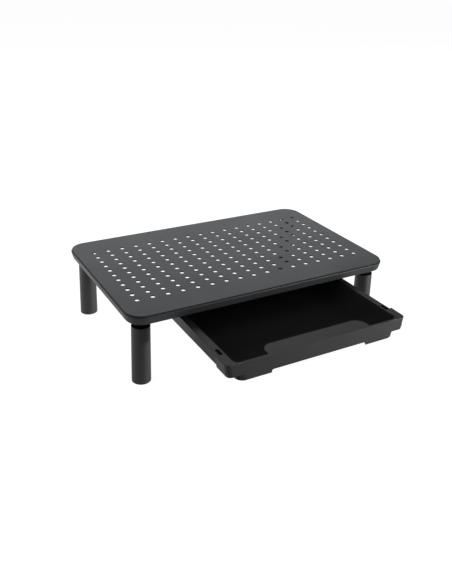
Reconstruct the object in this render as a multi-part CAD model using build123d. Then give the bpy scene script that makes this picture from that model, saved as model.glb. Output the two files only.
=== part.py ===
from build123d import *
import os

# Height-adjustable desk riser with a pull-out drawer, in millimetres.
# +Z is up and the drawer opens towards -Y. The origin is on the desk, under the middle of the
# space that the stand takes up with its drawer pulled out.

# ---- driving dimensions -------------------------------------------------------------------
PLATFORM_WIDTH = 370.0        # width and depth are taken before the rim's top edge is rounded
PLATFORM_DEPTH = 235.0
PLATFORM_HEIGHT = 96.0        # top face above the desk, with the legs at their lowest step
CORNER_RADIUS = 23.0
HEIGHT_STEP, HEIGHT_SETTINGS = 20.0, 3
DRAWER_TRAVEL = 106.0         # how far the drawer front stands ahead of the platform
CUT_PAST = 1.0                # how far a cutting solid runs past the face that it opens

# perforated steel top sheet, laid on the rim
SHEET_THICKNESS = 1.2
SHEET_INSET = 1.5             # the rim shows this far outside the sheet
SHEET_EDGE_RADIUS = 0.3
HOLE_DIAMETER = 6.0
HOLE_PITCH_X, HOLE_COLUMNS = 20.0, 17
HOLE_PITCH_Y, HOLE_ROWS = 15.0, 11

# moulded rim under the sheet
RIM_BOTTOM_DROP = 12.0        # from the sheet's top face down to the skirt's edge
RIM_TAPER = 14.0              # degrees that the skirt leans in as it goes down
RIM_TOP_RADIUS, RIM_BOTTOM_RADIUS = 1.4, 1.6
RIM_INSIDE_INSET = 5.6        # from the platform's outline to the skirt's inner face
LEDGE_WIDTH = 14.0
LEDGE_THICKNESS = 2.4
LEG_X, LEG_Y = 164.0, 95.0    # leg axes, from the platform's centre
BOSS_RADIUS = 9.4
BOSS_DROP = 11.0              # from the sheet's top face down to the boss's foot

# telescopic legs
NECK_RADIUS = 8.3
NECK_BORE_RADIUS = 5.8
NECK_HEAD = 13.2              # solid length at the neck's top
NECK_STUD_DEPTH = 9.2
NECK_FOOT_CHAMFER = 0.8
NECK_FOOT_GAP = 0.2           # above the sleeve's floor at the lowest setting
SNAP_GROOVE_DEPTH, SNAP_GROOVE_HEIGHT = 0.5, 3.0
SLEEVE_TOP_RADIUS = 11.3
SLEEVE_FOOT_RADIUS = 11.6
SLEEVE_EDGE = 0.3
SLEEVE_DROP = 21.5            # from the platform's top face down to the sleeve's mouth
SLEEVE_MOUTH_RADIUS, SLEEVE_MOUTH_DEPTH = 10.3, 5.0
SLEEVE_BORE_RADIUS = 8.7
SLEEVE_FOOT_Z = 0.8
SLEEVE_FLOOR = 2.0
RING_DROP = 8.0               # centre of the detent ring below the sleeve's mouth
RING_HEIGHT = 2.0
RING_INNER_RADIUS, RING_OUTER_RADIUS = 8.55, 9.5
RING_SPLIT = 2.0
RING_PLAY = 0.1               # round the ring in its groove
PAD_RADIUS, PAD_THICKNESS, PAD_RECESS = 9.4, 2.0, 1.2
PAD_EDGE_RADIUS = 0.5
PAD_PLAY = 0.1

# fasteners, with plain holes and shanks for their threads
STUD_RADIUS, STUD_CLEARANCE_RADIUS = 4.0, 4.4
STUD_CHAMFER = 0.6
END_GAP = 0.3                 # between a stud or screw's tip and the sheet
CORNER_NUT_RADIUS, CORNER_NUT_HEIGHT = 7.5, 5.0      # centre to corner
NUT_POCKET_PLAY = 0.4
RAIL_SCREW_RADIUS, RAIL_SCREW_CLEARANCE = 2.0, 2.25
RAIL_SCREW_HEAD_RADIUS, RAIL_SCREW_HEAD_HEIGHT = 3.6, 2.4
RAIL_SCREW_DOME = 1.0
SCREW_SLOT_LENGTH, SCREW_SLOT_WIDTH, SCREW_SLOT_DEPTH = 4.4, 1.0, 1.1
RAIL_NUT_RADIUS, RAIL_NUT_HEIGHT = 4.6, 4.0

# drawer
DRAWER_LENGTH = 172.0
DRAWER_DROP = 17.0            # from the platform's top face down to the drawer's rim
DRAWER_HEIGHT = 24.0
DRAWER_WALL = 2.0
FRONT_WALL = 2.4
BOX_TOP_HALF_WIDTH, BOX_BOTTOM_HALF_WIDTH = 112.6, 106.6
BOX_CORNER_RADIUS, BOX_BACK_RADIUS, BOX_BOTTOM_RADIUS = 10.0, 5.0, 2.5
POCKET_BOTTOM_RADIUS, POCKET_FRONT_RADIUS, POCKET_BACK_RADIUS = 14.0, 6.0, 4.0
FLANGE_HALF_WIDTH = 119.4
FLANGE_THICKNESS = 2.0
FLANGE_EDGE_RADIUS = 0.8
FLANGE_SETBACK = 2.0          # from the drawer's front face to the flange
LIP_HEIGHT = 13.0             # depth of the flange's hanging outer lip
EAR_TOP_HALF_WIDTH, EAR_BOTTOM_HALF_WIDTH = 122.4, 119.6
EAR_HEIGHT = 15.5
EAR_LENGTH = 25.5
EAR_SIDE_WALL, EAR_FRONT_WALL = 3.0, 6.0
EAR_CORNER_RADIUS, EAR_EDGE_RADIUS = 6.0, 0.6
PULL_HALF_WIDTH = 69.0
PULL_DEPTH = 21.0
PULL_CORNER_RADIUS = 13.0
PULL_EDGE_RISE = 5.0          # the front wall's lower edge steps up across the finger pull
PULL_EDGE_INSET = 4.0         # from the pull's side to that step
PULL_STEP_RADIUS = 2.0
SLOT_LENGTH, SLOT_WIDTH = 12.0, 4.4
SLOT_X, SLOT_SETBACK = 115.2, 4.0     # slot centre, sideways and behind the ear
LUG_LENGTH, LUG_HEIGHT = 3.5, 2.0
LUG_REACH = 0.3               # past the box's outer face
GUSSET_THICKNESS, GUSSET_FOOT_RISE = 2.0, 0.5     # the rise is above the flange lip's edge

# drawer rails, whose parts start and end at these distances behind the platform's front edge
RAIL_ARM_SPAN = (14.5, 64.0)  # upper arm, over the flange
RAIL_WEB_SPAN = (38.5, 64.0)
RAIL_SHELF_SPAN = (38.5, 91.0)        # lower shelf, under the flange's lip
RAIL_WALL = 2.0
RAIL_GAP = 0.4                # side play of the drawer in each rail
RAIL_REST_GAP = 0.3           # play above the flange, below the lip and at the stops
RAIL_REACH = 6.3              # how far the rail's arms reach in from its web
RAIL_TAB_RADIUS, RAIL_BOSS_RADIUS = 6.0, 4.5
RAIL_TAB_REACH = 7.6          # from the web's inner face to a fixing tab's centre
RAIL_TAB_SETBACKS = (21.5, 34.0)      # tab centres behind the platform's front edge
TOOTH_LENGTH, TOOTH_OVERLAP = 3.0, 1.6
UPSTAND_LENGTH, UPSTAND_WIDTH, UPSTAND_HEIGHT = 3.0, 3.2, 5.0

# ---- derived places ------------------------------------------------------------------------
PLATFORM_Y = DRAWER_TRAVEL / 2
PLATFORM_FRONT = PLATFORM_Y - PLATFORM_DEPTH / 2
SHEET_UNDER_Z = PLATFORM_HEIGHT - SHEET_THICKNESS
LEDGE_UNDER_Z = SHEET_UNDER_Z - LEDGE_THICKNESS
RIM_BOTTOM_Z = PLATFORM_HEIGHT - RIM_BOTTOM_DROP
BOSS_BOTTOM_Z = PLATFORM_HEIGHT - BOSS_DROP
DRAWER_FRONT = PLATFORM_FRONT - DRAWER_TRAVEL
DRAWER_BACK = DRAWER_FRONT + DRAWER_LENGTH
DRAWER_RIM_Z = PLATFORM_HEIGHT - DRAWER_DROP
DRAWER_BOTTOM_Z = DRAWER_RIM_Z - DRAWER_HEIGHT
LIP_BOTTOM_Z = DRAWER_RIM_Z - LIP_HEIGHT
EAR_BOTTOM_Z = DRAWER_RIM_Z - EAR_HEIGHT
EAR_BACK = DRAWER_FRONT + EAR_LENGTH
PULL_EDGE_Z = DRAWER_BOTTOM_Z + PULL_EDGE_RISE
SHELF_FRONT = PLATFORM_FRONT + RAIL_SHELF_SPAN[0]
RAIL_INNER_X = FLANGE_HALF_WIDTH + RAIL_GAP
RAIL_OUTER_X = RAIL_INNER_X + RAIL_WALL
RAIL_UPPER_Z = DRAWER_RIM_Z + RAIL_REST_GAP       # underside of the upper arm
RAIL_LOWER_Z = LIP_BOTTOM_Z - RAIL_REST_GAP       # top of the lower shelf
SLEEVE_TOP_Z = PLATFORM_HEIGHT - SLEEVE_DROP
SLEEVE_MOUTH_FLOOR_Z = SLEEVE_TOP_Z - SLEEVE_MOUTH_DEPTH
RING_Z = SLEEVE_TOP_Z - RING_DROP
SLEEVE_BORE_Z = SLEEVE_FOOT_Z + PAD_RECESS + SLEEVE_FLOOR
NECK_BOTTOM_Z = SLEEVE_BORE_Z + NECK_FOOT_GAP
LEGS = {
    "front_left": (-LEG_X, PLATFORM_Y - LEG_Y),
    "front_right": (LEG_X, PLATFORM_Y - LEG_Y),
    "rear_left": (-LEG_X, PLATFORM_Y + LEG_Y),
    "rear_right": (LEG_X, PLATFORM_Y + LEG_Y),
}


# ---- shapes used more than once ------------------------------------------------------------
def block(x_range, y_range, z_range):
    """A box between two corners."""
    spans = [high - low for low, high in (x_range, y_range, z_range)]
    centre = [(low + high) / 2 for low, high in (x_range, y_range, z_range)]
    return Pos(*centre) * Box(*spans)


def rod(x, y, z_low, z_high, radius):
    """An upright cylinder."""
    return Pos(x, y, (z_low + z_high) / 2) * Cylinder(radius, z_high - z_low)


def rounded_slab(half_x, y_centre, half_y, radius, z_low, z_high):
    """A flat slab with rounded corners in plan."""
    outline = Pos(0, y_centre, z_low) * RectangleRounded(2 * half_x, 2 * half_y, radius)
    return extrude(outline, z_high - z_low)


def hex_nut(x, y, z_low, z_high, corner_radius, hole_radius):
    """An upright hexagonal nut, its thread left as a plain hole."""
    outline = Pos(x, y, z_low) * (RegularPolygon(corner_radius, 6) - Circle(hole_radius))
    return extrude(outline, z_high - z_low)


def turned(x, y, outline):
    """A solid of revolution about the upright line through (x, y), from (radius, z) points."""
    profile = make_face(Polyline(*[(r, 0, z) for r, z in outline], close=True))
    return Pos(x, y, 0) * revolve(profile, Axis.Z)


def front_view_prism(points, y_front, y_back):
    """A prism along Y from (x, z) points seen from the front."""
    outline = make_face(Polyline(*[(x, y_front, z) for x, z in points], close=True))
    return extrude(outline, y_back - y_front, dir=(0, 1, 0))


def mirrored_outline(right_side):
    """A closed front-view outline from its right half, top to bottom."""
    return right_side + [(-x, z) for x, z in reversed(right_side)]


def both_sides(solid):
    """The solid and its mirror image in the stand's middle plane."""
    return [solid, mirror(solid, Plane.YZ)]


def bottom_edges(solid):
    return solid.edges().group_by(Axis.Z)[0]


def top_edges(solid):
    return solid.edges().group_by(Axis.Z)[-1]


def steep_edges(face):
    """The edges at the left and right ends of a solid's front or back face."""
    return [edge for edge in face.edges() if edge.bounding_box().size.Z > 1]


def round_front_corners(solid, radius):
    return fillet(steep_edges(solid.faces().sort_by(Axis.Y)[0]), radius)


def round_back_corners(solid, radius):
    return fillet(steep_edges(solid.faces().sort_by(Axis.Y)[-1]), radius)


# ---- platform ------------------------------------------------------------------------------
def make_top_sheet():
    """Flat steel sheet with a grid of round holes."""
    sheet = rounded_slab(
        PLATFORM_WIDTH / 2 - SHEET_INSET, PLATFORM_Y, PLATFORM_DEPTH / 2 - SHEET_INSET,
        CORNER_RADIUS - SHEET_INSET, SHEET_UNDER_Z, PLATFORM_HEIGHT,
    )
    sheet = fillet(top_edges(sheet), SHEET_EDGE_RADIUS)
    grid = GridLocations(HOLE_PITCH_X, HOLE_PITCH_Y, HOLE_COLUMNS, HOLE_ROWS)
    middle = Pos(0, PLATFORM_Y, PLATFORM_HEIGHT - SHEET_THICKNESS / 2)
    punch = Cylinder(HOLE_DIAMETER / 2, SHEET_THICKNESS + 2 * CUT_PAST)
    return sheet - [middle * place * punch for place in grid]


def make_edge_rim():
    """Moulded rim: a skirt that leans in, a ledge under the sheet and four leg bosses."""
    outline = RectangleRounded(PLATFORM_WIDTH, PLATFORM_DEPTH, CORNER_RADIUS)
    rim = extrude(
        Pos(0, PLATFORM_Y, SHEET_UNDER_Z) * outline, RIM_BOTTOM_Z - SHEET_UNDER_Z, taper=RIM_TAPER,
    )
    rim = fillet(bottom_edges(rim), RIM_BOTTOM_RADIUS)
    rim = fillet(top_edges(rim), RIM_TOP_RADIUS)
    rim -= rounded_slab(
        PLATFORM_WIDTH / 2 - LEDGE_WIDTH, PLATFORM_Y, PLATFORM_DEPTH / 2 - LEDGE_WIDTH,
        CORNER_RADIUS - LEDGE_WIDTH, RIM_BOTTOM_Z - CUT_PAST, PLATFORM_HEIGHT,
    )
    rim -= rounded_slab(
        PLATFORM_WIDTH / 2 - RIM_INSIDE_INSET, PLATFORM_Y, PLATFORM_DEPTH / 2 - RIM_INSIDE_INSET,
        CORNER_RADIUS - RIM_INSIDE_INSET, RIM_BOTTOM_Z - CUT_PAST, LEDGE_UNDER_Z,
    )
    for x, y in LEGS.values():
        rim += rod(x, y, BOSS_BOTTOM_Z, SHEET_UNDER_Z, BOSS_RADIUS)
    nut_pocket_z = SHEET_UNDER_Z - CORNER_NUT_HEIGHT
    for x, y in LEGS.values():
        rim -= rod(x, y, BOSS_BOTTOM_Z - CUT_PAST, SHEET_UNDER_Z, STUD_CLEARANCE_RADIUS)
        rim -= rod(x, y, nut_pocket_z, SHEET_UNDER_Z, CORNER_NUT_RADIUS + NUT_POCKET_PLAY)
    return rim


def make_corner_nuts():
    """Weld nuts under the sheet's corners, one for each leg's stud."""
    low = SHEET_UNDER_Z - CORNER_NUT_HEIGHT
    return [
        hex_nut(x, y, low, SHEET_UNDER_Z, CORNER_NUT_RADIUS, STUD_RADIUS) for x, y in LEGS.values()
    ]


# ---- legs ----------------------------------------------------------------------------------
def make_neck(x, y):
    """Fixed tube of a leg, with a snap groove for each height setting."""
    neck = rod(x, y, NECK_BOTTOM_Z, BOSS_BOTTOM_Z, NECK_RADIUS)
    neck = chamfer(bottom_edges(neck), NECK_FOOT_CHAMFER)
    neck -= rod(x, y, NECK_BOTTOM_Z - CUT_PAST, BOSS_BOTTOM_Z - NECK_HEAD, NECK_BORE_RADIUS)
    neck -= rod(x, y, BOSS_BOTTOM_Z - NECK_STUD_DEPTH, BOSS_BOTTOM_Z + CUT_PAST, STUD_RADIUS)
    for setting in range(HEIGHT_SETTINGS):
        middle = RING_Z - setting * HEIGHT_STEP
        low, high = middle - SNAP_GROOVE_HEIGHT / 2, middle + SNAP_GROOVE_HEIGHT / 2
        band = rod(x, y, low, high, NECK_RADIUS + CUT_PAST)
        neck -= band - rod(x, y, low, high, NECK_RADIUS - SNAP_GROOVE_DEPTH)
    return neck


def make_stud(x, y):
    """Threaded stud that holds a neck to the platform."""
    low = BOSS_BOTTOM_Z - NECK_STUD_DEPTH + END_GAP
    stud = rod(x, y, low, SHEET_UNDER_Z - END_GAP, STUD_RADIUS)
    return chamfer(stud.edges().filter_by(GeomType.CIRCLE), STUD_CHAMFER)


def make_sleeve(x, y):
    """Sliding outer tube of a leg: thin at its mouth, grooved for the ring, closed at the foot."""
    groove_radius = RING_OUTER_RADIUS + RING_PLAY
    groove_low = RING_Z - RING_HEIGHT / 2 - RING_PLAY
    groove_high = RING_Z + RING_HEIGHT / 2 + RING_PLAY
    pad_recess_radius = PAD_RADIUS + PAD_PLAY
    return turned(x, y, [
        (0, SLEEVE_FOOT_Z + PAD_RECESS),
        (pad_recess_radius, SLEEVE_FOOT_Z + PAD_RECESS),
        (pad_recess_radius, SLEEVE_FOOT_Z),
        (SLEEVE_FOOT_RADIUS - SLEEVE_EDGE, SLEEVE_FOOT_Z),
        (SLEEVE_FOOT_RADIUS, SLEEVE_FOOT_Z + SLEEVE_EDGE),
        (SLEEVE_TOP_RADIUS, SLEEVE_TOP_Z - SLEEVE_EDGE),
        (SLEEVE_TOP_RADIUS - SLEEVE_EDGE, SLEEVE_TOP_Z),
        (SLEEVE_MOUTH_RADIUS, SLEEVE_TOP_Z),
        (SLEEVE_MOUTH_RADIUS, SLEEVE_MOUTH_FLOOR_Z),
        (SLEEVE_BORE_RADIUS, SLEEVE_MOUTH_FLOOR_Z),
        (SLEEVE_BORE_RADIUS, groove_high),
        (groove_radius, groove_high),
        (groove_radius, groove_low),
        (SLEEVE_BORE_RADIUS, groove_low),
        (SLEEVE_BORE_RADIUS, SLEEVE_BORE_Z),
        (0, SLEEVE_BORE_Z),
    ])


def make_detent_ring(x, y):
    """Split spring ring inside the sleeve, its gap turned towards the stand's middle."""
    low, high = RING_Z - RING_HEIGHT / 2, RING_Z + RING_HEIGHT / 2
    ring = rod(x, y, low, high, RING_OUTER_RADIUS) - rod(x, y, low, high, RING_INNER_RADIUS)
    reach = RING_OUTER_RADIUS + CUT_PAST
    gap_end = x - reach if x > 0 else x + reach
    gap = block(
        sorted((x, gap_end)), (y - RING_SPLIT / 2, y + RING_SPLIT / 2), (low - CUT_PAST, high + CUT_PAST),
    )
    return ring - gap


def make_foot_pad(x, y):
    """Rubber pad pressed into the sleeve's foot."""
    pad = rod(x, y, 0, PAD_THICKNESS, PAD_RADIUS)
    return fillet(bottom_edges(pad), PAD_EDGE_RADIUS)


# ---- drawer --------------------------------------------------------------------------------
def box_half_width(z):
    """Half width of the drawer's tapering box at height z, outside."""
    share = (z - DRAWER_BOTTOM_Z) / DRAWER_HEIGHT
    return BOX_BOTTOM_HALF_WIDTH + share * (BOX_TOP_HALF_WIDTH - BOX_BOTTOM_HALF_WIDTH)


def make_drawer_box():
    """The drawer's box before it is hollowed out."""
    box = front_view_prism(
        mirrored_outline([
            (BOX_TOP_HALF_WIDTH, DRAWER_RIM_Z),
            (BOX_BOTTOM_HALF_WIDTH, DRAWER_BOTTOM_Z),
        ]),
        DRAWER_FRONT, DRAWER_BACK,
    )
    box = round_front_corners(box, BOX_CORNER_RADIUS)
    box = round_back_corners(box, BOX_BACK_RADIUS)
    return fillet(bottom_edges(box), BOX_BOTTOM_RADIUS)


def make_pocket():
    """The space inside the drawer."""
    pocket = front_view_prism(
        mirrored_outline([
            (BOX_TOP_HALF_WIDTH - DRAWER_WALL, DRAWER_RIM_Z),
            (BOX_BOTTOM_HALF_WIDTH - DRAWER_WALL, DRAWER_BOTTOM_Z + DRAWER_WALL),
        ]),
        DRAWER_FRONT + FRONT_WALL, DRAWER_BACK - DRAWER_WALL,
    )
    pocket = fillet(bottom_edges(pocket).filter_by(Axis.Y), POCKET_BOTTOM_RADIUS)
    pocket = round_front_corners(pocket, POCKET_FRONT_RADIUS)
    return round_back_corners(pocket, POCKET_BACK_RADIUS)


def make_flange():
    """Flat side flanges joined over the box, each with a lip that hangs from its outer edge."""
    y_range = (DRAWER_FRONT + FLANGE_SETBACK, DRAWER_BACK)
    flange = block((-FLANGE_HALF_WIDTH, FLANGE_HALF_WIDTH), y_range, (LIP_BOTTOM_Z, DRAWER_RIM_Z))
    flange = fillet(top_edges(flange).filter_by(Axis.Y), FLANGE_EDGE_RADIUS)
    lip_inner_x = FLANGE_HALF_WIDTH - FLANGE_THICKNESS
    return flange - block(
        (-lip_inner_x, lip_inner_x), (y_range[0] - CUT_PAST, y_range[1] + CUT_PAST),
        (LIP_BOTTOM_Z - CUT_PAST, DRAWER_RIM_Z - FLANGE_THICKNESS),
    )


def make_ears():
    """The front's wide upper band, with a rounded ear at each end, open behind."""
    ears = front_view_prism(
        mirrored_outline([
            (EAR_TOP_HALF_WIDTH, DRAWER_RIM_Z),
            (EAR_BOTTOM_HALF_WIDTH, EAR_BOTTOM_Z),
        ]),
        DRAWER_FRONT, EAR_BACK,
    )
    ears = round_front_corners(ears, EAR_CORNER_RADIUS)
    ears = fillet(bottom_edges(ears), EAR_EDGE_RADIUS)
    ears = fillet(top_edges(ears), EAR_EDGE_RADIUS)
    hollow = front_view_prism(
        mirrored_outline([
            (EAR_TOP_HALF_WIDTH - EAR_SIDE_WALL, DRAWER_RIM_Z - FLANGE_THICKNESS),
            (EAR_BOTTOM_HALF_WIDTH - EAR_SIDE_WALL, EAR_BOTTOM_Z - CUT_PAST),
        ]),
        DRAWER_FRONT + EAR_FRONT_WALL, EAR_BACK + CUT_PAST,
    )
    return ears - hollow


def pull_slab(inset, z_low, z_high):
    """The finger pull's outline, drawn in by inset, as a slab behind the drawer's front face."""
    half_x, half_y = PULL_HALF_WIDTH - inset, PULL_DEPTH - inset
    slab = rounded_slab(half_x, DRAWER_FRONT, half_y, PULL_CORNER_RADIUS - inset, z_low, z_high)
    behind_front = block(
        (-PULL_HALF_WIDTH, PULL_HALF_WIDTH), (DRAWER_FRONT, DRAWER_FRONT + PULL_DEPTH),
        (z_low, z_high),
    )
    return slab & behind_front


def make_finger_space():
    """The space for the fingers, open below and at the raised lower edge of the front wall."""
    space = pull_slab(DRAWER_WALL, DRAWER_BOTTOM_Z - CUT_PAST, DRAWER_RIM_Z - DRAWER_WALL)
    half_gap = PULL_HALF_WIDTH - PULL_EDGE_INSET
    front_wall = block(
        (-PULL_HALF_WIDTH, PULL_HALF_WIDTH), (DRAWER_FRONT, DRAWER_FRONT + FRONT_WALL),
        (DRAWER_BOTTOM_Z - CUT_PAST, DRAWER_RIM_Z),
    )
    edge_step = block(
        (-half_gap, half_gap), (DRAWER_FRONT - CUT_PAST, DRAWER_FRONT + FRONT_WALL + CUT_PAST),
        (DRAWER_BOTTOM_Z - CUT_PAST, PULL_EDGE_Z),
    )
    edge_step = fillet(top_edges(edge_step).filter_by(Axis.Y), PULL_STEP_RADIUS)
    return (space - front_wall) + edge_step


def drawer_slot():
    """Slot through the right flange, behind the ear."""
    slot_y = EAR_BACK + SLOT_SETBACK
    return block(
        (SLOT_X - SLOT_WIDTH / 2, SLOT_X + SLOT_WIDTH / 2),
        (slot_y - SLOT_LENGTH / 2, slot_y + SLOT_LENGTH / 2),
        (DRAWER_RIM_Z - FLANGE_THICKNESS - CUT_PAST, DRAWER_RIM_Z + CUT_PAST),
    )


def open_stop_lug():
    """Block on the right flange's rear corner that meets the rail's tooth with the drawer open."""
    return block(
        (BOX_TOP_HALF_WIDTH - DRAWER_WALL, BOX_TOP_HALF_WIDTH + LUG_REACH),
        (DRAWER_BACK - LUG_LENGTH, DRAWER_BACK),
        (DRAWER_RIM_Z - FLANGE_THICKNESS, DRAWER_RIM_Z + LUG_HEIGHT),
    )


def close_stop_gusset():
    """Web across the right flange's channel that meets the rail's upstand with the drawer shut."""
    back = SHELF_FRONT - DRAWER_TRAVEL - RAIL_REST_GAP
    high, low = DRAWER_RIM_Z - FLANGE_THICKNESS / 2, LIP_BOTTOM_Z + GUSSET_FOOT_RISE
    outer_x = FLANGE_HALF_WIDTH - FLANGE_THICKNESS / 2
    bite = DRAWER_WALL / 2
    return front_view_prism(
        [
            (box_half_width(high) - bite, high), (outer_x, high),
            (outer_x, low), (box_half_width(low) - bite, low),
        ],
        back - GUSSET_THICKNESS, back,
    )


def make_drawer_tray():
    """One-piece moulded drawer: box, front, hanging side flanges, finger pull and stops."""
    box = make_drawer_box()
    tray = box + make_flange() + make_ears()
    tray -= make_pocket()
    tray += pull_slab(0, DRAWER_BOTTOM_Z, DRAWER_RIM_Z) & box
    tray -= make_finger_space()
    for slot in both_sides(drawer_slot()):
        tray -= slot
    for stop in both_sides(open_stop_lug()) + both_sides(close_stop_gusset()):
        tray += stop
    return tray


# ---- rails ---------------------------------------------------------------------------------
def rail_tabs():
    """Centres of one rail's fixing tabs, on the right side of the stand."""
    return [
        (RAIL_INNER_X + RAIL_TAB_REACH, PLATFORM_FRONT + setback) for setback in RAIL_TAB_SETBACKS
    ]


def rail_bar(x_range, span, z_range):
    """A straight piece of the rail, span being its setbacks from the platform's front edge."""
    front, back = (PLATFORM_FRONT + setback for setback in span)
    return block(x_range, (front, back), z_range)


def make_right_rail():
    """C-shaped rail round the drawer's flange, hung from the sheet by two bosses."""
    inner_x = RAIL_INNER_X - RAIL_REACH
    upper_top, lower_bottom = RAIL_UPPER_Z + RAIL_WALL, RAIL_LOWER_Z - RAIL_WALL
    arm_z = (RAIL_UPPER_Z, upper_top)
    rail = rail_bar((RAIL_INNER_X, RAIL_OUTER_X), RAIL_WEB_SPAN, (lower_bottom, upper_top))
    rail += rail_bar((inner_x, RAIL_OUTER_X), RAIL_ARM_SPAN, arm_z)
    rail += rail_bar((inner_x, RAIL_OUTER_X), RAIL_SHELF_SPAN, (lower_bottom, RAIL_LOWER_Z))
    rail += block(
        (inner_x, inner_x + UPSTAND_WIDTH), (SHELF_FRONT, SHELF_FRONT + UPSTAND_LENGTH),
        (lower_bottom, RAIL_LOWER_Z + UPSTAND_HEIGHT),
    )
    tooth_back = DRAWER_BACK - LUG_LENGTH - RAIL_REST_GAP
    rail += block(
        (BOX_TOP_HALF_WIDTH - TOOTH_OVERLAP, inner_x), (tooth_back - TOOTH_LENGTH, tooth_back), arm_z,
    )
    nut_z = SHEET_UNDER_Z - RAIL_NUT_HEIGHT
    for x, y in rail_tabs():
        rail += rod(x, y, RAIL_UPPER_Z, nut_z, RAIL_BOSS_RADIUS)
        rail += rod(x, y, RAIL_UPPER_Z, upper_top, RAIL_TAB_RADIUS)
        rail += block((RAIL_INNER_X, x), (y - RAIL_TAB_RADIUS, y + RAIL_TAB_RADIUS), arm_z)
    for x, y in rail_tabs():
        rail -= rod(x, y, RAIL_UPPER_Z - CUT_PAST, nut_z + CUT_PAST, RAIL_SCREW_CLEARANCE)
    return rail


def make_rail_screws():
    """Pan-head screws with a crossed recess, one up through each rail tab."""
    head_low = RAIL_UPPER_Z - RAIL_SCREW_HEAD_HEIGHT
    long, wide = SCREW_SLOT_LENGTH / 2, SCREW_SLOT_WIDTH / 2
    recess = (head_low - CUT_PAST, head_low + SCREW_SLOT_DEPTH)
    screws = []
    for x, y in rail_tabs():
        head = rod(x, y, head_low, RAIL_UPPER_Z, RAIL_SCREW_HEAD_RADIUS)
        head = fillet(bottom_edges(head), RAIL_SCREW_DOME)
        head -= block((x - long, x + long), (y - wide, y + wide), recess)
        head -= block((x - wide, x + wide), (y - long, y + long), recess)
        shank = rod(x, y, RAIL_UPPER_Z - CUT_PAST, SHEET_UNDER_Z - END_GAP, RAIL_SCREW_RADIUS)
        screws += both_sides(head + shank)
    return screws


def make_rail_nuts():
    """Weld nuts under the sheet, one for each rail screw."""
    low = SHEET_UNDER_Z - RAIL_NUT_HEIGHT
    nuts = []
    for x, y in rail_tabs():
        nuts += both_sides(hex_nut(x, y, low, SHEET_UNDER_Z, RAIL_NUT_RADIUS, RAIL_SCREW_RADIUS))
    return nuts


# ---- output --------------------------------------------------------------------------------
def save(name, shape):
    """Writes one sub-part, given as a shape or as a list of separate solids."""
    solids = shape if isinstance(shape, list) else [shape]
    separate = [solid for item in solids for solid in item.solids()]
    whole = separate[0] if len(separate) == 1 else Compound(children=separate)
    whole.label = name
    export_step(whole, f"parts/{name}.step")


def main():
    os.makedirs("parts", exist_ok=True)
    save("top_sheet", make_top_sheet())
    save("edge_rim", make_edge_rim())
    save("corner_weld_nuts", make_corner_nuts())
    for leg, (x, y) in LEGS.items():
        save(f"{leg}_neck", make_neck(x, y))
        save(f"{leg}_stud", make_stud(x, y))
        save(f"{leg}_sleeve", make_sleeve(x, y))
        save(f"{leg}_detent_ring", make_detent_ring(x, y))
        save(f"{leg}_foot_pad", make_foot_pad(x, y))
    right_rail = make_right_rail()
    save("right_rail", right_rail)
    save("left_rail", mirror(right_rail, Plane.YZ))
    save("rail_screws", make_rail_screws())
    save("rail_weld_nuts", make_rail_nuts())
    save("drawer_tray", make_drawer_tray())


main()
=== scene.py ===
"""Desk riser with a pull-out drawer: finishes, floor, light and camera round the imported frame.

Every length is in metres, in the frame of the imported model.
"""

import math

import bpy
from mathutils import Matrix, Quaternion, Vector


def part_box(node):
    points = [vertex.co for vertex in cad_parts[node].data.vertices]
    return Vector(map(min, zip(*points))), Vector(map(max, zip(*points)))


# ---- camera: where it stands from the middle of the platform's top face -------------------
CAMERA_OFFSET = Vector((-0.4404, -0.7737, 0.3892))
CAMERA_AZIMUTH = math.radians(29.56)
CAMERA_DIP = math.radians(19.69)
CAMERA_ROLL = math.radians(1.68)
CAMERA_LENS = 43.92
CAMERA_SENSOR = 36.0
CAMERA_SHIFT_Y = -0.1504
CAMERA_CLIP = (0.02, 60.0)

# ---- finishes: base colours are linear RGB ------------------------------------------------
STEEL_COAT = (0.0112, 0.0122, 0.0142)
RIM_BLACK = (0.0160, 0.0163, 0.0170)
NECK_BLACK = (0.0030, 0.0031, 0.0033)
SLEEVE_BLACK = (0.0030, 0.0031, 0.0032)
DRAWER_BLACK = (0.0100, 0.0100, 0.0103)
RAIL_BLACK = (0.0050, 0.0050, 0.0052)
ZINC = (0.56, 0.57, 0.58)
RUBBER_BLACK = (0.010, 0.010, 0.010)
SHEET_TINT = (0.86, 0.94, 1.0)         # the sheet's sheen is faintly blue
NO_TINT = (1.0, 1.0, 1.0)
EDGE_PAINTED_SHADE = 0.15             # painted shade on coated steel's cut edges, upright faces and undersides: their colour as a share
EDGE_DULLNESS = 0.42          # and what those faces add to its roughness
UPRIGHT_TO_LEVEL = (0.3, 0.8)  # the normal's Z where a face stops being upright and becomes level
NOISE_SPAN = (0.3, 0.7)       # where most of a noise pattern's values lie

# ---- the drawer's pocket: how far it lies inside the drawer's box ---------------------------
POCKET_FLOOR_INSET = 0.0010
POCKET_TOP_INSET = 0.0025
POCKET_FRONT_INSET = 0.0023
POCKET_SIDE_INSET = 0.01668   # at its floor
POCKET_SIDE_LEAN = 0.25       # how much wider it gets for each metre of height
POCKET_PAINTED_SHADE = 0.5            # painted shade in the pocket: its colour as a share of the outside's
POCKET_DULLNESS = 0.45        # what it adds to the outside's roughness

# ---- studio -------------------------------------------------------------------------------
FLOOR_SIZE = 30.0
FLOOR_COLOUR = (0.40, 0.40, 0.40)
FLOOR_SEEN_GLOW = 0.93        # the floor's own light as the camera sees it
FLOOR_FRONT_GLOW = 0.12       # and as it falls on the object, ahead of it
FLOOR_BACK_GLOW = 1.25        # and behind it
FLOOR_FADE = (-0.30, 0.35)    # the floor's light grows between these distances back
AMBIENT_STRENGTH = 0.12
BACKDROP_STRENGTH = 1.0
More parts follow.
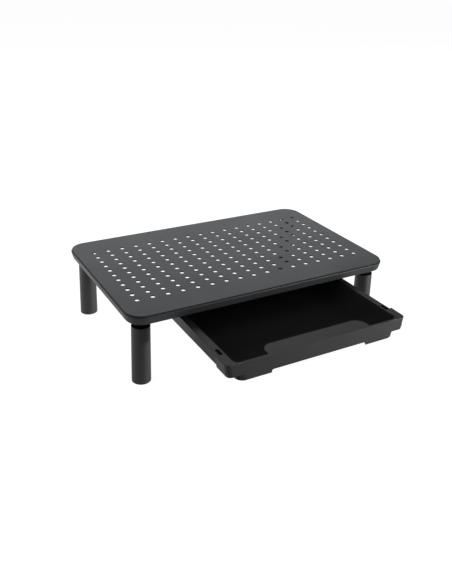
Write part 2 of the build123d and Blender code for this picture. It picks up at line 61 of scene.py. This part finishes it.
# each softbox: its place from the middle of the platform's top face, its size and its watts
SOFTBOXES = {
    "back_softbox": ((0.25, 2.2, 0.82), (4.0, 1.7), 24.0),
    "left_softbox": ((-2.0, 0.2, 0.5), (2.5, 1.6), 15.0),
    "fill_softbox": ((1.8, -2.0, 0.95), (3.0, 1.5), 8.0),
    "front_softbox": ((1.0, -1.1, -0.045), (0.8, 0.08), 23.0),
    "top_softbox": ((0.0, 0.3, 2.2), (2.0, 2.0), 5.0),
}


class Nodes:
    """A short way to add and join the nodes of a material or of the world.

    Where a call takes a value, that is either another node's output or a plain value.
    """

    def __init__(self, owner, shader):
        owner.use_nodes = True
        self.owner = owner
        self.tree = owner.node_tree
        self.shader = self.tree.nodes[shader]

    def add(self, kind, **settings):
        """Adds a node. Its settings are either its own properties or its inputs' values."""
        node = self.tree.nodes.new(kind)
        for key, value in settings.items():
            if hasattr(node, key):
                setattr(node, key, value)
            else:
                node.inputs[key.replace("_", " ").title()].default_value = value
        return node

    def join(self, value, socket):
        """Gives a socket its value."""
        if isinstance(value, bpy.types.NodeSocket):
            self.tree.links.new(value, socket)
        else:
            socket.default_value = value

    def shade(self, **values):
        """Gives the shader's inputs their values, by names in lower case with underscores."""
        sockets = {socket.name.lower().replace(" ", "_"): socket for socket in self.shader.inputs}
        for key, value in values.items():
            self.join(value, sockets[key])

    def coordinates(self, kind):
        """A point's own place on its node ("Object"), or the way its face looks ("Normal")."""
        return self.add("ShaderNodeTexCoord").outputs[kind]

    def part(self, vector, axis):
        """The X, Y or Z of a vector."""
        node = self.add("ShaderNodeSeparateXYZ")
        self.join(vector, node.inputs["Vector"])
        return node.outputs[axis]

    def noise(self, place, scale, detail=3.0, roughness=0.55):
        """A noise pattern with features about 1 / scale metres across."""
        node = self.add("ShaderNodeTexNoise", scale=scale, detail=detail, roughness=roughness)
        self.join(place, node.inputs["Vector"])
        return node.outputs["Fac"]

    def between(self, factor, low, high, source=(0.0, 1.0)):
        """Maps a factor, which runs over the source range, onto low to high."""
        node = self.add("ShaderNodeMapRange")
        node.inputs["From Min"].default_value, node.inputs["From Max"].default_value = source
        self.join(low, node.inputs["To Min"])
        self.join(high, node.inputs["To Max"])
        self.join(factor, node.inputs["Value"])
        return node.outputs["Result"]

    def around(self, factor, middle, spread):
        """Maps a factor from 0 to 1 onto a middle value, less or more a spread."""
        return self.between(factor, middle - spread, middle + spread)

    def maths(self, operation, *values):
        """One arithmetic step."""
        node = self.add("ShaderNodeMath", operation=operation)
        for socket, value in zip(node.inputs, values):
            self.join(value, socket)
        return node.outputs["Value"]

    def dimmed(self, colour, share):
        """A colour at a varying share of its brightness."""
        node = self.add("ShaderNodeHueSaturation")
        self.join(colour, node.inputs["Color"])
        self.join(share, node.inputs["Value"])
        return node.outputs["Color"]

    def shades(self, factor, colour, spread):
        """A colour that runs from (1 - spread) to (1 + spread) times itself."""
        ramp = self.add("ShaderNodeValToRGB")
        low, high = ramp.color_ramp.elements
        low.position, high.position = NOISE_SPAN
        low.color = [c * (1 - spread) for c in colour] + [1.0]
        high.color = [c * (1 + spread) for c in colour] + [1.0]
        self.join(factor, ramp.inputs["Fac"])
        return ramp.outputs["Color"]

    def bump(self, height, distance, strength, under=None):
        """A surface raised by height over distance, on top of the bump under it."""
        node = self.add("ShaderNodeBump", distance=distance, strength=strength)
        self.join(height, node.inputs["Height"])
        if under is not None:
            self.join(under, node.inputs["Normal"])
        return node.outputs["Normal"]


def new_finish(name):
    """The nodes of a new material. The material itself is their owner."""
    return Nodes(bpy.data.materials.new(name), "Principled BSDF")


def moulded_plastic(name, colour, roughness, grain, grain_depth, specular=0.5, inside=None):
    """Black moulded plastic: a fine etched grain over a slow mottle from the melt's flow.

    Where inside, a function of the nodes and the place, gives 1, the plastic gets a painted shade that
    darkens it, and is duller.
    """
    n = new_finish(name)
    place = n.coordinates("Object")
    mottle = n.noise(place, scale=26.0, detail=4.0)
    fine = n.noise(place, scale=grain, detail=2.0, roughness=0.7)
    plastic_tone_and_pocket_shade = n.shades(mottle, colour, spread=0.16)
    satin = n.around(fine, roughness, spread=0.07)
    if inside is not None:
        mask = inside(n, place)
        # painted shade: the pocket's faces, under the platform and between the drawer's walls, get a
        # darker colour for the shade that falls there
        plastic_tone_and_pocket_shade = n.dimmed(plastic_tone_and_pocket_shade, n.between(mask, 1.0, POCKET_PAINTED_SHADE))
        satin = n.maths("MULTIPLY_ADD", mask, POCKET_DULLNESS, satin)
    etching = n.bump(fine, distance=grain_depth, strength=0.5)
    n.shade(base_color=plastic_tone_and_pocket_shade, roughness=satin, normal=etching, specular_ior_level=specular)
    return n.owner


def drawer_pocket(n, place):
    """1 on the faces of the drawer's pocket and 0 on the rest of the drawer."""
    low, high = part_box("drawer_tray")
    x, y, z = (n.part(place, axis) for axis in "XYZ")
    height = n.maths("SUBTRACT", z, low.z + POCKET_FLOOR_INSET)
    half_width = n.maths("MULTIPLY_ADD", height, POCKET_SIDE_LEAN, high.x - POCKET_SIDE_INSET)
    to_side = n.maths("SUBTRACT", half_width, n.maths("ABSOLUTE", x))
    to_front = n.maths("SUBTRACT", y, low.y + POCKET_FRONT_INSET)
    to_top = n.maths("SUBTRACT", high.z - POCKET_TOP_INSET, z)
    across = n.maths("MINIMUM", to_side, to_front)
    upright = n.maths("MINIMUM", to_top, height)
    return n.maths("GREATER_THAN", n.maths("MINIMUM", across, upright), 0.0)


def facing_up(n):
    """1 on faces that look up, 0 on faces that stand upright or look down."""
    rise = n.part(n.coordinates("Normal"), "Z")
    return n.between(rise, 0.0, 1.0, source=UPRIGHT_TO_LEVEL)


def powder_coat(name, colour, roughness, specular=0.5, tint=NO_TINT):
    """Satin powder coat on steel: an orange-peel surface with a faint fleck in the colour, and painted
    shade that darkens every face not looking up.
    """
    n = new_finish(name)
    place = n.coordinates("Object")
    cloud = n.noise(place, scale=14.0)
    fleck = n.noise(place, scale=2600.0, detail=1.0)
    peel = n.noise(place, scale=620.0, detail=2.0, roughness=0.5)
    up = facing_up(n)
    # painted shade: faces that don't look up, such as cut edges and sides, get a darker coat colour
    # for the shade on them
    coat_tone_and_edge_shade = n.dimmed(n.shades(fleck, colour, spread=0.22), n.between(up, EDGE_PAINTED_SHADE, 1.0))
    satin = n.around(cloud, roughness, spread=0.05)
    dull = n.between(up, EDGE_DULLNESS, 0.0)
    coarse = n.bump(peel, distance=0.00012, strength=0.35)
    n.shade(
        base_color=coat_tone_and_edge_shade,
        roughness=n.maths("ADD", satin, dull),
        normal=n.bump(fleck, distance=0.00004, strength=0.3, under=coarse),
        specular_ior_level=specular,
        specular_tint=(*tint, 1),
    )
    return n.owner


def plated_steel(name, colour):
    """Zinc-plated fasteners: fine turning marks and a faintly cloudy plate."""
    n = new_finish(name)
    place = n.coordinates("Object")
    cloud = n.noise(place, scale=300.0)
    marks = n.add("ShaderNodeTexWave", wave_type="RINGS", rings_direction="Z", scale=900.0)
    n.join(place, marks.inputs["Vector"])
    n.shade(
        base_color=n.shades(cloud, colour, spread=0.12),
        roughness=n.between(cloud, 0.24, 0.42),
        normal=n.bump(marks.outputs["Fac"], distance=0.00002, strength=0.25),
        metallic=1.0,
    )
    return n.owner


def rubber(name, colour):
    """Soft black rubber with a dusty, pebbled face."""
    n = new_finish(name)
    place = n.coordinates("Object")
    pebble = n.add("ShaderNodeTexVoronoi", scale=1400.0)
    n.join(place, pebble.inputs["Vector"])
    dust = n.noise(place, scale=160.0)
    n.shade(
        base_color=n.shades(dust, colour, spread=0.3),
        roughness=n.between(dust, 0.78, 0.92),
        normal=n.bump(pebble.outputs["Distance"], distance=0.00008, strength=0.5),
    )
    return n.owner


def make_finishes():
    """Each finish under the ending of the names that it is for."""
    zinc = plated_steel("zinc_plate", ZINC)
    return {
        "top_sheet": powder_coat("sheet_coat", STEEL_COAT, roughness=0.42, tint=SHEET_TINT),
        "edge_rim": moulded_plastic(
            "rim_plastic", RIM_BLACK, roughness=0.50, grain=1900.0, grain_depth=0.00004, specular=0.32,
        ),
        "_neck": powder_coat("neck_coat", NECK_BLACK, roughness=0.42, specular=0.10),
        "_sleeve": moulded_plastic(
            "sleeve_plastic", SLEEVE_BLACK, roughness=0.47, grain=1700.0, grain_depth=0.00006,
        ),
        "drawer_tray": moulded_plastic(
            "drawer_plastic", DRAWER_BLACK, roughness=0.45, grain=1300.0, grain_depth=0.00008,
            specular=0.38, inside=drawer_pocket,
        ),
        "_rail": moulded_plastic(
            "rail_plastic", RAIL_BLACK, roughness=0.46, grain=1500.0, grain_depth=0.00006,
        ),
        "_detent_ring": zinc,
        "_stud": zinc,
        "_nuts": zinc,
        "_screws": zinc,
        "_foot_pad": rubber("foot_rubber", RUBBER_BLACK),
    }


def finish_of(node_name, finishes):
    """The finish whose key ends the node's name."""
    for ending, material in finishes.items():
        if node_name.endswith(ending):
            return material
    raise ValueError(f"no finish for {node_name}")


def paint_frame(nodes):
    """Gives every CAD node its own finish."""
    finishes = make_finishes()
    for name, node in nodes.items():
        node.data.materials.clear()
        node.data.materials.append(finish_of(name, finishes))


def seen_or_cast(n, seen, cast):
    """One strength where the camera looks straight at a thing, another for the light it casts."""
    camera_ray = n.add("ShaderNodeLightPath").outputs["Is Camera Ray"]
    return n.between(camera_ray, cast, seen)


def make_floor():
    """A plain white floor that glows a little, so that its shadows stay faint."""
    half = FLOOR_SIZE / 2
    mesh = bpy.data.meshes.new("floor")
    corners = [(-half, -half, 0), (half, -half, 0), (half, half, 0), (-half, half, 0)]
    mesh.from_pydata(corners, [], [(0, 1, 2, 3)])
    floor = bpy.data.objects.new("floor", mesh)
    bpy.context.scene.collection.objects.link(floor)
    n = new_finish("floor_white")
    distance_back = n.part(n.coordinates("Object"), "Y")
    cast = n.between(distance_back, FLOOR_FRONT_GLOW, FLOOR_BACK_GLOW, source=FLOOR_FADE)
    n.shade(
        base_color=(*FLOOR_COLOUR, 1),
        roughness=0.9,
        specular_ior_level=0.1,
        emission_color=(1, 1, 1, 1),
        emission_strength=seen_or_cast(n, FLOOR_SEEN_GLOW, cast),
    )
    mesh.materials.append(n.owner)


def make_world():
    """An even white backdrop that lights the object less than it shows."""
    world = bpy.data.worlds.new("studio")
    bpy.context.scene.world = world
    n = Nodes(world, "Background")
    n.shade(color=(1, 1, 1, 1), strength=seen_or_cast(n, BACKDROP_STRENGTH, AMBIENT_STRENGTH))


def make_softbox(name, place, aim, size, power):
    """A rectangular softbox at place, facing aim."""
    data = bpy.data.lights.new(name, "AREA")
    data.shape = "RECTANGLE"
    data.size, data.size_y = size
    data.energy = power
    light = bpy.data.objects.new(name, data)
    light.location = place
    light.rotation_mode = "QUATERNION"
    light.rotation_quaternion = (aim - place).to_track_quat("-Z", "Y")
    light.visible_camera = False
    bpy.context.scene.collection.objects.link(light)


def make_studio(middle):
    """Softboxes behind, left and above, with a dim fill and a low strip at the front right.

    The strip stays below the platform's top face, so that it puts no glare on it.
    """
    for name, (offset, size, power) in SOFTBOXES.items():
        make_softbox(name, middle + Vector(offset), middle, size, power)


def make_camera(platform_top):
    """The viewpoint, with its lens shifted down to keep the legs upright."""
    data = bpy.data.cameras.new("camera")
    data.lens = CAMERA_LENS
    data.sensor_width = CAMERA_SENSOR
    data.shift_y = CAMERA_SHIFT_Y
    data.clip_start, data.clip_end = CAMERA_CLIP
    camera = bpy.data.objects.new("camera", data)
    level = math.cos(CAMERA_DIP)
    look = Vector((
        math.sin(CAMERA_AZIMUTH) * level, math.cos(CAMERA_AZIMUTH) * level, -math.sin(CAMERA_DIP),
    ))
    camera.location = platform_top + CAMERA_OFFSET
    camera.rotation_mode = "QUATERNION"
    camera.rotation_quaternion = look.to_track_quat("-Z", "Y") @ Quaternion((0, 0, 1), CAMERA_ROLL)
    bpy.context.scene.collection.objects.link(camera)
    bpy.context.scene.camera = camera


def corners(box):
    """A box's lowest and highest corners as plain lists of numbers."""
    return [list(corner) for corner in box]


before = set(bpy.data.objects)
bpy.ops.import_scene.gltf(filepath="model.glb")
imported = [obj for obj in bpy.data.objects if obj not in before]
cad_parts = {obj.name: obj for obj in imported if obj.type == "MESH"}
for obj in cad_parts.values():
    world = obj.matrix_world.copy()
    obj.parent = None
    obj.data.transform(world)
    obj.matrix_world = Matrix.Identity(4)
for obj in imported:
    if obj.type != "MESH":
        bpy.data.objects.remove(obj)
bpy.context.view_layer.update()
paint_frame(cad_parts)

low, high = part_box("top_sheet")
platform_top = Vector(((low.x + high.x) / 2, (low.y + high.y) / 2, high.z))
make_camera(platform_top)
make_floor()
make_world()
make_studio(platform_top)
bpy.context.scene.view_settings.view_transform = "Standard"
